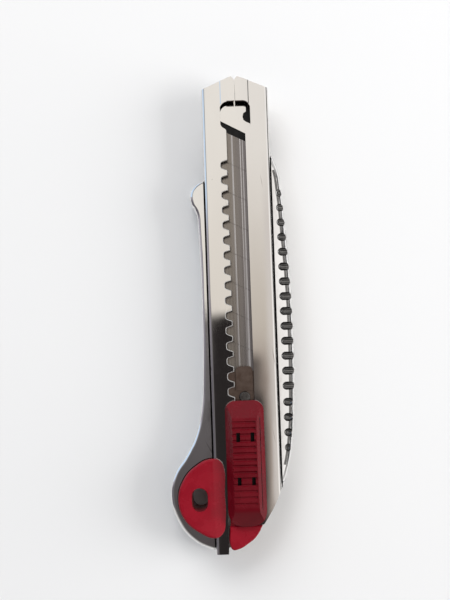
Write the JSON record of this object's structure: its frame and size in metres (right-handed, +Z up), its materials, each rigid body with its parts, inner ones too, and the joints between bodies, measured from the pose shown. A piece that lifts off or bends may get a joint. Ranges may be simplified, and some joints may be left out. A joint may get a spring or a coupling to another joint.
{
  "type": "utility knife",
  "caption": "Snap-off utility knife: chromed handle with finger stop and grip grooves, steel rail with a toothed slot, ratchet slider, and red tail fittings with a lanyard hole.",
  "frame": {"origin": "middle of the outline, on the handle's back face that the knife rests on", "axes": "+Y along the rail to the nose, +X to the grooved flank, +Z up through the slider"},
  "size_m": [0.0422, 0.1572, 0.0167],
  "materials": {
    "chrome_body": "bright chrome plating on a zinc die casting",
    "rail_steel": "bright pressed stainless steel with a fine lengthwise grain",
    "blade_steel": "oiled carbon steel with a ground edge",
    "dull_steel": "dull grey-brown steel",
    "pin_steel": "plain turned steel",
    "red_plastic": "dark red moulded plastic, slightly glossy"
  },
  "bodies": {
    "handle": {"handle_body": "chrome_body", "blade_channel": "rail_steel", "rail_rivet_front": "pin_steel", "rail_rivet_middle": "pin_steel", "rail_rivet_rear": "pin_steel", "lanyard_insert": "red_plastic"},
    "carriage": {"snap_blade": "blade_steel", "blade_carrier": "dull_steel", "blade_peg": "pin_steel", "keeper_plate": "dull_steel", "keeper_rivet_front": "pin_steel", "keeper_rivet_rear": "pin_steel", "lock_spring": "pin_steel"},
    "button": {"slider_button": "red_plastic"},
    "pawl": {"lock_pawl": "dull_steel", "cam_pin": "pin_steel"},
    "plug": {"end_plug": "red_plastic"}
  },
  "joints": [
    {"name": "blade_slide", "type": "slide", "parent": "handle", "child": "carriage", "axis": [0, 1, 0], "range_m": [0, 0.085]},
    {"name": "button_lock", "type": "slide", "parent": "carriage", "child": "button", "axis": [0, 1, 0], "range_m": [0, 0.002], "stiffness_N_per_m": 400, "springref_m": 0.0025},
    {"name": "pawl_lock", "type": "slide", "parent": "carriage", "child": "pawl", "axis": [-1, 0, 0], "range_m": [0, 0.002]},
    {"name": "plug_pull", "type": "slide", "parent": "handle", "child": "plug", "axis": [0, -1, 0], "range_m": [0, 0.012]}
  ],
  "couplings": [
    {"joint": "pawl_lock", "follows": "button_lock", "ratio": 1}
  ]
}
